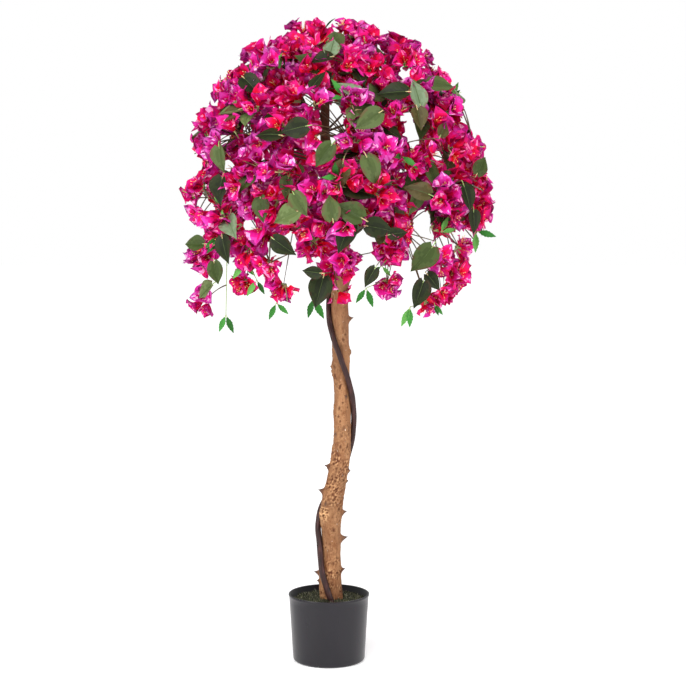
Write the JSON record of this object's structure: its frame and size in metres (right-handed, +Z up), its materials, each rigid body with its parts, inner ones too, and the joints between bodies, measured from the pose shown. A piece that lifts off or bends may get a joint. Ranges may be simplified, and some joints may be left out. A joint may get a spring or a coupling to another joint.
{
  "type": "artificial bougainvillea tree",
  "caption": "Artificial bougainvillea grown as a standard tree: a thorny trunk with a vine wound round it, a domed weeping crown of magenta blossom and leaves, and a plastic pot.",
  "frame": {"origin": "middle of the pot's flat underside", "axes": "+Z up along the trunk, +X to the right and -Y towards the viewer of the front"},
  "size_m": [0.5867, 0.5935, 1.1979],
  "materials": {
    "pot": "satin",
    "fill": "matte",
    "moss": "matte",
    "bark": "matte",
    "vine": "satin",
    "bough": "matte",
    "foliage": "satin"
  },
  "bodies": {
    "root": {"bough_hem_1": "bough", "bough_hem_2": "bough", "bough_hem_3": "bough", "bough_hem_4": "bough", "bough_hem_5": "bough", "bough_hem_6": "bough", "bough_middle_1": "bough", "bough_middle_2": "bough", "bough_middle_3": "bough", "bough_middle_4": "bough", "bough_middle_5": "bough", "bough_middle_6": "bough", "bough_top_1": "bough", "bough_top_2": "bough", "bough_top_3": "bough", "bough_top_4": "bough", "bough_upper_1": "bough", "bough_upper_2": "bough", "bough_upper_3": "bough", "bough_upper_4": "bough", "bough_upper_5": "bough", "foliage_hem_1": "foliage", "foliage_hem_2": "foliage", "foliage_hem_3": "foliage", "foliage_hem_4": "foliage", "foliage_hem_5": "foliage", "foliage_hem_6": "foliage", "foliage_middle_1": "foliage", "foliage_middle_2": "foliage", "foliage_middle_3": "foliage", "foliage_middle_4": "foliage", "foliage_middle_5": "foliage", "foliage_middle_6": "foliage", "foliage_summit": "foliage", "foliage_top_1": "foliage", "foliage_top_2": "foliage", "foliage_top_3": "foliage", "foliage_top_4": "foliage", "foliage_upper_1": "foliage", "foliage_upper_2": "foliage", "foliage_upper_3": "foliage", "foliage_upper_4": "foliage", "foliage_upper_5": "foliage", "moss": "moss", "pot": "pot", "pot_fill": "fill", "trunk": "bark", "vine_lower": "vine", "vine_middle": "vine", "vine_upper": "vine"}
  },
  "joints": []
}
